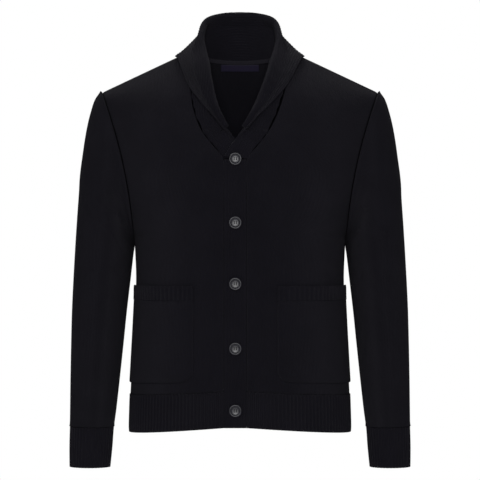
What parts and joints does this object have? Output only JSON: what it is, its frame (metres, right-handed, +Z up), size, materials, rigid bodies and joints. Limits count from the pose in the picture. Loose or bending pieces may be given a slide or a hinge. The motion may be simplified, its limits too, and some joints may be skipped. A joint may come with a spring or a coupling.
{
  "type": "shawl collar cardigan",
  "caption": "Knitted cardigan with a shawl collar, button front, patch pockets and ribbed hem and cuffs, filled out as worn with nobody inside.",
  "frame": {"origin": "centre of the neck, level with the tops of the shoulder seams", "axes": "+Z up, the front faces -Y, +X is the wearer's left"},
  "size_m": [0.605, 0.2525, 0.8141],
  "materials": {
    "knit": "matte stocking stitch, near black navy",
    "rib": "matte rib knit, near black navy",
    "tape": "fine knitted neck tape",
    "label": "bare woven label with a satin face",
    "button": "dark grey resin, soft shine"
  },
  "bodies": {
    "root": {"back": "knit", "front_left": "knit", "front_right": "knit", "sleeve_left": "knit", "sleeve_right": "knit", "pocket_left": "knit", "pocket_right": "knit", "hem_back": "rib", "hem_left": "rib", "hem_right": "rib", "cuff_left": "rib", "cuff_right": "rib", "shawl_collar": "rib", "button_band_over": "rib", "button_band_under": "rib", "pocket_rib_left": "rib", "pocket_rib_right": "rib", "neck_tape": "tape", "neck_label": "label", "button_1": "button", "button_2": "button", "button_3": "button", "button_4": "button", "button_5": "button"}
  },
  "joints": []
}
